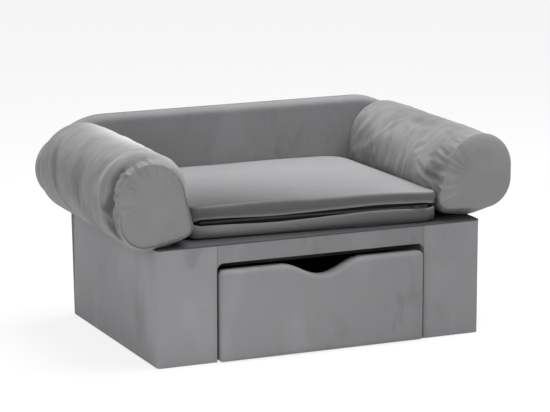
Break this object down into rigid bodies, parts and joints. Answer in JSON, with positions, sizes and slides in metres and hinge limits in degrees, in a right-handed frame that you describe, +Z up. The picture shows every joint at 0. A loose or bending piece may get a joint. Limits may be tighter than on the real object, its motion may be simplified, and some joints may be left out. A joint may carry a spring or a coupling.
{
  "type": "pet sofa bed with drawer",
  "caption": "Small upholstered sofa bed for a pet, with stuffed arm rolls, a padded back, a loose zipped seat cushion and a padded drawer in its base.",
  "frame": {"origin": "middle of the sofa's footprint, at floor level", "axes": "+X towards the sofa's right as seen from the front, +Y towards the back, +Z up"},
  "size_m": [0.76, 0.426, 0.37],
  "materials": {
    "plush": "short grey velvet pile",
    "plush_light": "short grey velvet pile, brushed up",
    "deck_cloth": "dark woven lining",
    "plywood": "raw birch plywood",
    "drawer_panel": "boards covered in black lining",
    "foam": "cream upholstery foam",
    "filling": "white polyester filling",
    "screw_steel": "zinc plated",
    "glide_plastic": "black plastic",
    "zip_black": "black zip tape",
    "zip_coil": "black nylon",
    "zip_metal": "black lacquer"
  },
  "bodies": {
    "base": {"foot_glides": "glide_plastic", "bottom_board": "plywood", "left_side_board": "plywood", "right_side_board": "plywood", "front_board": "plywood", "back_board": "plywood", "deck_board": "plywood", "left_partition": "plywood", "right_partition": "plywood", "drawer_runners": "plywood", "drawer_guides": "plywood", "stop_rail": "plywood", "corner_blocks": "plywood", "deck_screws": "screw_steel", "back_screws": "screw_steel", "arm_screws": "screw_steel", "left_cover": "plush", "right_cover": "plush", "rail_cover": "plush", "rear_cover": "plush", "deck_cover": "deck_cloth", "back_foam": "foam", "back_cover": "plush", "left_arm_cover": "plush_light", "left_arm_fill": "filling", "left_arm_strip": "plywood", "right_arm_cover": "plush_light", "right_arm_fill": "filling", "right_arm_strip": "plywood"},
    "drawer": {"drawer_front_board": "plywood", "drawer_front_foam": "foam", "drawer_front_cover": "plush", "drawer_left_side": "drawer_panel", "drawer_right_side": "drawer_panel", "drawer_rear_panel": "drawer_panel", "drawer_bottom": "drawer_panel", "drawer_screws": "screw_steel"},
    "seat_cushion": {"cushion_cover": "plush_light", "cushion_foam": "foam", "zip_tape": "zip_black", "zip_coil": "zip_coil"},
    "zip_slider": {"zip_slider": "zip_metal"},
    "zip_pull": {"zip_pull": "zip_metal"}
  },
  "joints": [
    {"name": "drawer_slide", "type": "slide", "parent": "base", "child": "drawer", "axis": [0, -1, 0], "range_m": [0, 0.26]},
    {"name": "cushion_lift", "type": "slide", "parent": "base", "child": "seat_cushion", "axis": [0, 0, 1], "range_m": [0, 0.2]},
    {"name": "zip_slide", "type": "slide", "parent": "seat_cushion", "child": "zip_slider", "axis": [-0.9973, 0.074, 0], "range_m": [0, 0.4]},
    {"name": "pull_hinge", "type": "hinge", "parent": "zip_slider", "child": "zip_pull", "pos_m": [0.20235, -0.19027, 0.2373], "axis": [0, 0, 1], "range_deg": [0, 170]}
  ]
}
